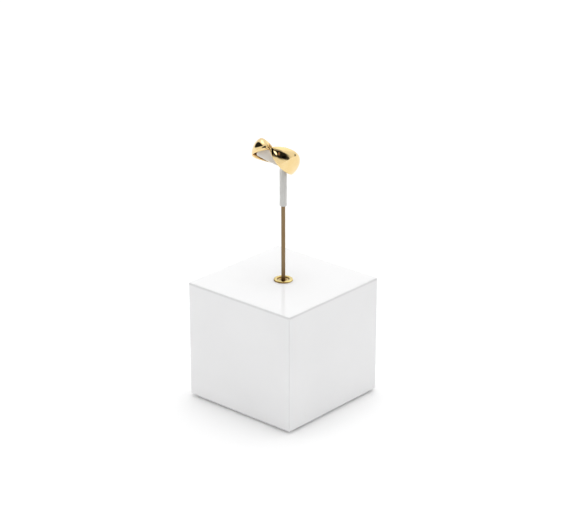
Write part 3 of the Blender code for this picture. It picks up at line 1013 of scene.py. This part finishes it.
def room_world(sizes):
    """A white studio that lights dull surfaces in one way and is mirrored in another.

    Dull surfaces get light from overhead, from a wide key light on the right and from four plain walls.
    Gloss mirrors a white room with dark and dim parts, a bright panel, a window, a slit and one warm patch.
    The camera sees plain white.
    """
    world = bpy.data.worlds.new("white_room")
    world.use_nodes = True
    tree = world.node_tree
    background = tree.nodes["Background"]
    coordinates = tree.nodes.new("ShaderNodeTexCoord")
    view = separate(tree, coordinates.outputs["Generated"])
    x, y, z = view
    path = tree.nodes.new("ShaderNodeLightPath")
    by_diffuse = Formula(tree, path.outputs["Is Diffuse Ray"])
    by_camera = Formula(tree, path.outputs["Is Camera Ray"])

    overhead = z.math("MAXIMUM", 0.0) ** OVERHEAD_FOCUS * sizes.overhead_light
    key = along_axis(view, KEY_DIRECTION).math("MAXIMUM", 0.0) ** KEY_FOCUS * sizes.key_light
    walls = wall_pair(x, LEFT_WALL, RIGHT_WALL) + wall_pair(y, FRONT_WALL, BACK_WALL)
    lit = overhead + key + walls * sizes.wall_light

    dark_front = room_patch(view, middle=(-39, 32), halves=(52.5, 14.5), tilt=-16, softness=0.25)
    dark_low = room_patch(view, middle=(-2, 10.5), halves=(21, 5), tilt=-29, softness=0.14)
    dark_side = room_patch(view, middle=(-103.5, 32), halves=(17, 32), tilt=-16, softness=0.1)
    dark_back = room_patch(view, middle=(194, 19.5), halves=(31.5, 13), tilt=27, softness=0.14)
    dark_spot = room_patch(view, middle=(59, 1), halves=(8, 7), tilt=0, softness=0.3)
    dim_side = room_patch(view, middle=(-85, 30.5), halves=(37.5, 15.5), tilt=13, softness=0.15)
    dim_top = room_patch(view, middle=(-45, 52.5), halves=(23.5, 15), tilt=-19, softness=0.32)
    panel = room_patch(view, middle=(75.5, 60), halves=(33.5, 43.5), tilt=28, softness=0.3)
    window = room_patch(view, middle=(-180, 42), halves=(16, 7), tilt=30, softness=0.6)
    slit = room_patch(view, middle=(-65, 34.5), halves=(10, 5), tilt=-23, softness=0.58)
    warm = room_patch(view, middle=(-38, 33), halves=(5.5, 6), tilt=0, softness=0.4)
    warm = warm * (by_diffuse + by_camera).one_minus()

    mirrored = dark_front.dim(0.98) * dark_low.dim(0.9) * dark_side.dim(0.98)
    mirrored = mirrored * dark_back.dim(0.98) * dark_spot.dim(0.9)
    mirrored = mirrored * (dim_side.dim(0.84) * dim_top.dim(0.55))
    mirrored = mirrored + panel * PANEL_LIGHT + window * WINDOW_LIGHT + slit * SLIT_LIGHT + warm * WARM_LIGHT
    mirrored = mirrored * sizes.room_light

    level = blended(blended(mirrored, lit, by_diffuse), by_camera * CAMERA_WHITE, by_camera)
    tint = combine(tree, 1.0, warm.dim(0.5), warm.dim(0.66))
    tree.links.new(level.socket, background.inputs["Strength"])
    tree.links.new(tint, background.inputs["Color"])
    return world


class JEWELRYSTAND_OT_stage(bpy.types.Operator):
    """Sets the white floor, the room, the softbox and the camera"""

    bl_idname = "jewelrystand.stage"
    bl_label = "Stage"
    bl_options = {"REGISTER", "UNDO"}

    def execute(self, context):
        scene = context.scene
        sizes = scene.stand_stage
        self.add_floor(sizes)
        scene.world = room_world(sizes)
        self.add_softbox(scene, sizes)
        self.add_camera(scene, sizes)
        scene.view_settings.view_transform = "Standard"
        return {"FINISHED"}

    def add_floor(self, sizes):
        shape = bmesh.new()
        bmesh.ops.create_circle(shape, cap_ends=True, segments=FLOOR_STEPS, radius=sizes.floor_radius)
        finish = Finish("white_floor", IOR=1.3)
        cloud = finish.noise(400 * MM, detail=2.0)
        finish.paint(finish.mix(cloud, sizes.floor_white, shaded(sizes.floor_white, 1.01)))
        finish.roughen(cloud, 0.8, 0.9)
        add_piece("floor", to_mesh("floor", shape), finish.material)

    def add_softbox(self, scene, sizes):
        light = bpy.data.lights.new("softbox", "AREA")
        light.shape = "DISK"
        light.size = SOFTBOX_WIDTH
        light.energy = sizes.softbox_power
        softbox = bpy.data.objects.new("softbox", light)
        softbox.location = SOFTBOX_PLACE
        softbox.rotation_euler = SOFTBOX_PLACE.to_track_quat("Z", "Y").to_euler()
        scene.collection.objects.link(softbox)

    def add_camera(self, scene, sizes):
        camera = bpy.data.objects.new("camera", bpy.data.cameras.new("camera"))
        turned = Euler((math.pi / 2 - sizes.elevation, 0, sizes.azimuth), "XYZ")
        camera.rotation_euler = turned
        camera.location = Vector(sizes.aim) + turned.to_matrix() @ Vector((0, 0, sizes.distance))
        camera.data.sensor_width = SENSOR_WIDTH
        camera.data.lens = sizes.lens
        camera.data.clip_end = 2 * sizes.floor_radius
        scene.collection.objects.link(camera)
        scene.camera = camera


OPERATORS = (
    JEWELRYSTAND_OT_block,
    JEWELRYSTAND_OT_pad,
    JEWELRYSTAND_OT_socket,
    JEWELRYSTAND_OT_rod,
    JEWELRYSTAND_OT_sleeve,
    JEWELRYSTAND_OT_leaf,
    JEWELRYSTAND_OT_ring,
    JEWELRYSTAND_OT_stage,
)

SIZE_GROUPS = {
    "stand_block": BlockSizes,
    "stand_pad": PadSizes,
    "stand_socket": SocketSizes,
    "stand_rod": RodSizes,
    "stand_clip": ClipSizes,
    "stand_ring": RingSizes,
    "stand_stage": StageSizes,
}


class JEWELRYSTAND_PT_pieces(bpy.types.Panel):
    """Lists the stand's pieces and their sizes"""

    bl_label = "Jewelry Stand"
    bl_idname = "JEWELRYSTAND_PT_pieces"
    bl_space_type = "VIEW_3D"
    bl_region_type = "UI"
    bl_category = "Jewelry Stand"

    def draw(self, context):
        for operator in OPERATORS:
            self.layout.operator(operator.bl_idname)
        for name, group in SIZE_GROUPS.items():
            box = self.layout.box()
            for size in group.__annotations__:
                box.prop(getattr(context.scene, name), size)


def register():
    for name, group in SIZE_GROUPS.items():
        bpy.utils.register_class(group)
        setattr(bpy.types.Scene, name, PointerProperty(type=group))
    for operator in OPERATORS:
        bpy.utils.register_class(operator)
    bpy.utils.register_class(JEWELRYSTAND_PT_pieces)


def unregister():
    bpy.utils.unregister_class(JEWELRYSTAND_PT_pieces)
    for operator in reversed(OPERATORS):
        bpy.utils.unregister_class(operator)
    for name, group in SIZE_GROUPS.items():
        delattr(bpy.types.Scene, name)
        bpy.utils.unregister_class(group)


def main():
    register()
    bpy.ops.jewelrystand.block()
    bpy.ops.jewelrystand.pad()
    bpy.ops.jewelrystand.socket()
    bpy.ops.jewelrystand.rod()
    bpy.ops.jewelrystand.sleeve()
    bpy.ops.jewelrystand.leaf()
    bpy.ops.jewelrystand.ring()
    bpy.ops.jewelrystand.stage()


if __name__ == "__main__":
    main()
